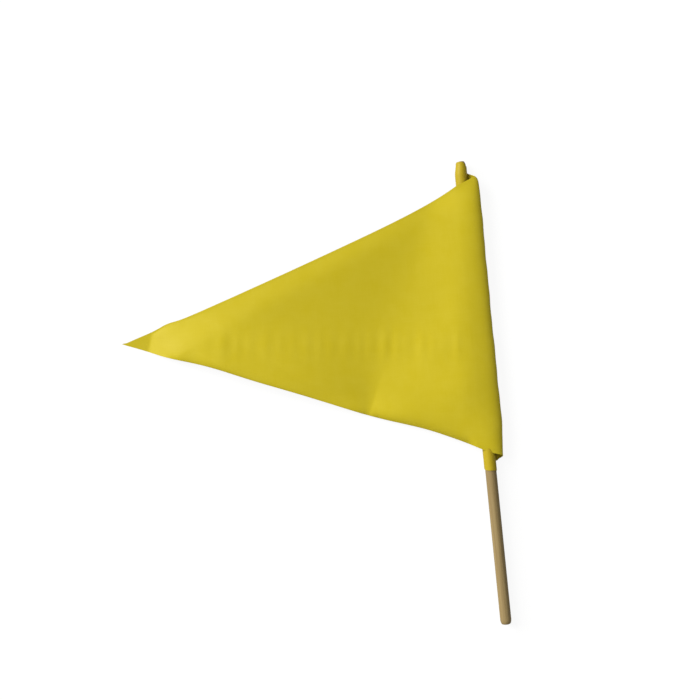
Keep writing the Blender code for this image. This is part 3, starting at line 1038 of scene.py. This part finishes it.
def turned_mesh(name, radius, along):
    """A closed turned surface: a circle of the given radius at each place along the stick."""
    sides = STICK_SIDES
    angle = np.arange(sides) * 2 * math.pi / sides
    x = radius[:, None] * np.sin(angle)[None, :]
    z = radius[:, None] * np.cos(angle)[None, :]
    y = along[:, None] + 0 * x
    x, z = whittled(x, y, z)
    points = np.stack([x, y, z], axis=2).reshape(-1, 3)
    ring = np.arange(len(radius) - 1)[:, None] * sides
    step = np.arange(sides)[None, :]
    ahead = (step + 1) % sides
    quads = np.stack([ring + step, ring + ahead, ring + sides + ahead, ring + sides + step], axis=2)
    mesh = bpy.data.meshes.new(name)
    ends = [list(range(sides))[::-1], list(range(len(points) - sides, len(points)))]
    mesh.from_pydata(points.tolist(), [], quads.reshape(-1, 4).tolist() + ends)
    mesh.shade_smooth()
    mesh.set_sharp_from_angle(angle=STICK_SHARP_ANGLE)
    return mesh


def rounded_end(rounding):
    """Radii and distances from the end of a quarter ellipse, from the flat face to the shaft."""
    length, depth = rounding
    turns = np.linspace(0, math.pi / 2, STICK_ROUND_STEPS)
    return STICK_RADIUS - depth * (1 - np.sin(turns)), length * (1 - np.cos(turns))


def ride_and_replace(piece, body, node):
    """Ties a piece to its body and hides the node that it stands for."""
    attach(piece, body)
    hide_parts(node)


class FLAG_OT_stick(bpy.types.Operator):
    """Turns the wooden stick"""

    bl_idname = "flag.stick"
    bl_label = "Stick"

    def execute(self, context):
        stick = context.scene.flag_stick
        butt_r, butt_y = rounded_end(stick.butt_round)
        top_r, from_top = rounded_end(stick.top_round)
        top_y = STICK_LENGTH - from_top
        shaft_y = np.linspace(butt_y[-1], top_y[-1], STICK_SHAFT_STEPS)[1:-1]
        radius = np.concatenate([butt_r, 0 * shaft_y + STICK_RADIUS, top_r[::-1]])
        along = np.concatenate([butt_y, shaft_y, top_y[::-1]])
        mesh = turned_mesh("wooden_stick", radius, along)
        piece = add_piece("wooden_stick", mesh, wood_finish(stick))
        ride_and_replace(piece, "stick", "stick")
        return {"FINISHED"}


class FLAG_OT_wound_cloth(bpy.types.Operator):
    """Winds the hoist end of the cloth round the stick"""

    bl_idname = "flag.wound_cloth"
    bl_label = "Wound cloth"

    def execute(self, context):
        cloth = context.scene.flag_cloth
        form = ClothForm(cloth)
        # Its colours are darkened by the painted shade share
        finish = cloth_finish("painted_shade_cloth", cloth, cloth.painted_shade_share)
        piece = cloth_piece("wound_cloth", form, (0, form.wrap_end), cloth_columns(form), finish)
        ride_and_replace(piece, "stick", "flag_hoist")
        area = flat_share(form, 0, form.wrap_end)
        return {"FINISHED"}


class FLAG_OT_front_cloth(bpy.types.Operator):
    """Turns the cloth over in a loose fold beside the stick and drapes it out to the tip"""

    bl_idname = "flag.front_cloth"
    bl_label = "Front layer"

    def execute(self, context):
        cloth = context.scene.flag_cloth
        form = ClothForm(cloth)
        finish = cloth_finish("coated_cloth", cloth)
        columns = cloth_columns(form)
        piece = cloth_piece("front_layer", form, (form.wrap_end, columns[-1]), columns, finish, tip=True)
        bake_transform(piece)
        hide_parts("flag_hoist", "flag_panel")
        start = np.array([form.wrap_end])
        width = float(form.top_edge(start)[0] - form.bottom_edge(start)[0])
        area = flat_share(form, form.wrap_end, cloth.length)
        return {"FINISHED"}


class FLAG_OT_staples(bpy.types.Operator):
    """Gives the staples their wire finish"""

    bl_idname = "flag.staples"
    bl_label = "Staples"

    def execute(self, context):
        finish = wire_finish(context.scene.flag_staples)
        for name in STAPLE_NODES:
            node = frame["nodes"][name]
            node.data.materials.clear()
            node.data.materials.append(finish)
        return {"FINISHED"}


class FLAG_OT_stage(bpy.types.Operator):
    """Sets up the floor, light and camera"""

    bl_idname = "flag.stage"
    bl_label = "Stage"

    def execute(self, context):
        stage = context.scene.flag_stage
        add_floor()
        add_light(stage)
        add_sky(context.scene, stage)
        add_camera(context.scene, stage)
        return {"FINISHED"}


def add_floor():
    """A wide pale floor that shows white where it is lit, and keeps the flag's shadow.

    Past the fold it falls away by a few millimetres, which is how much lower the drape of the
    front layer comes to lie than the stick when it is turned right over.
    """
    level = CAD_BOX[0].z - FLOOR_GAP
    fallen = level - FLOOR_FALL
    stations = (-FLOOR_HALF, *FLOOR_FALL_SPAN, FLOOR_HALF)
    profile = zip(stations, (level, level, fallen, fallen))
    corners = [(x, side, z) for x, z in profile for side in (-FLOOR_HALF, FLOOR_HALF)]
    mesh = bpy.data.meshes.new("floor")
    mesh.from_pydata(corners, [], [(0, 2, 3, 1), (2, 4, 5, 3), (4, 6, 7, 5)])
    floor = Shader("pale_floor", roughness=1.0, specular_ior_level=0.0)
    floor.feed("Base Color", opaque(FLOOR_SHADE))
    path = floor.node("ShaderNodeLightPath", output="Is Camera Ray")
    seen = path + path.neighbour("Is Glossy Ray") + path.neighbour("Is Transmission Ray")
    floor.feed("Emission Strength", FLOOR_GLOW)
    floor.feed("Emission Color", floor.mixed(seen, (0, 0, 0, 1), (1, 1, 1, 1)))
    add_piece("floor", mesh, floor.material)


def add_light(stage):
    """One wide soft light from the upper left of the picture."""
    lamp = bpy.data.lights.new("window_light", "SUN")
    lamp.energy = stage.sun_strength
    lamp.angle = LIGHT_WIDTH
    lamp.color = LIGHT_COLOUR
    made = bpy.data.objects.new("window_light", lamp)
    bpy.context.collection.objects.link(made)
    level = math.cos(stage.sun_elevation)
    east, north = math.cos(stage.sun_azimuth), math.sin(stage.sun_azimuth)
    towards = Vector((level * east, level * north, math.sin(stage.sun_elevation)))
    made.rotation_euler = towards.to_track_quat("Z", "Y").to_euler()


def add_sky(scene, stage):
    """Even light all round, and plain white where the camera sees past the floor."""
    world = bpy.data.worlds.new("sky")
    scene.world = world
    world.use_nodes = True
    tree = world.node_tree
    background = tree.nodes["Background"]
    background.inputs["Color"].default_value = (1, 1, 1, 1)
    path = tree.nodes.new("ShaderNodeLightPath")
    pick = tree.nodes.new("ShaderNodeMix")
    pick.data_type = "FLOAT"
    pick.inputs["A"].default_value = stage.sky_strength
    pick.inputs["B"].default_value = 1.0
    tree.links.new(path.outputs["Is Camera Ray"], pick.inputs["Factor"])
    tree.links.new(pick.outputs["Result"], background.inputs["Strength"])


def add_camera(scene, stage):
    """Straight above the flag, turned so that the stick leans as it does in the picture."""
    lens = bpy.data.cameras.new("camera")
    lens.lens = lens.sensor_width * stage.camera_height / stage.view_width
    lens.clip_start = CAMERA_NEAR
    made = bpy.data.objects.new("camera", lens)
    bpy.context.collection.objects.link(made)
    place = Vector(stage.view_centre) + Vector((0, 0, stage.camera_height))
    made.matrix_world = Matrix.Translation(place) @ Matrix.Rotation(stage.view_turn, 4, "Z")
    scene.camera = made


OPERATORS = (
    FLAG_OT_stick,
    FLAG_OT_wound_cloth,
    FLAG_OT_front_cloth,
    FLAG_OT_staples,
    FLAG_OT_stage,
)


class FLAG_PT_sidebar(bpy.types.Panel):
    """Lists the flag's pieces and their settings"""

    bl_idname = "FLAG_PT_sidebar"
    bl_label = "Linesman flag"
    bl_space_type = "VIEW_3D"
    bl_region_type = "UI"
    bl_category = "Flag"

    def draw(self, context):
        for operator in OPERATORS:
            self.layout.operator(operator.bl_idname)
        for name, group in SETTINGS.items():
            box = self.layout.box()
            box.label(text=group.__doc__)
            for setting in group.__annotations__:
                box.prop(getattr(context.scene, name), setting)


def register():
    for group in SETTINGS.values():
        bpy.utils.register_class(group)
    for operator in OPERATORS:
        bpy.utils.register_class(operator)
    bpy.utils.register_class(FLAG_PT_sidebar)
    for name, group in SETTINGS.items():
        setattr(bpy.types.Scene, name, bpy.props.PointerProperty(type=group))


def unregister():
    for name in SETTINGS:
        delattr(bpy.types.Scene, name)
    bpy.utils.unregister_class(FLAG_PT_sidebar)
    for operator in reversed(OPERATORS):
        bpy.utils.unregister_class(operator)
    for group in reversed(list(SETTINGS.values())):
        bpy.utils.unregister_class(group)


def main():
    register()
    bpy.context.scene.view_settings.view_transform = "Standard"
    bpy.ops.flag.stick()
    bpy.ops.flag.wound_cloth()
    bpy.ops.flag.front_cloth()
    bpy.ops.flag.staples()
    bpy.ops.flag.stage()


if __name__ == "__main__":
    main()
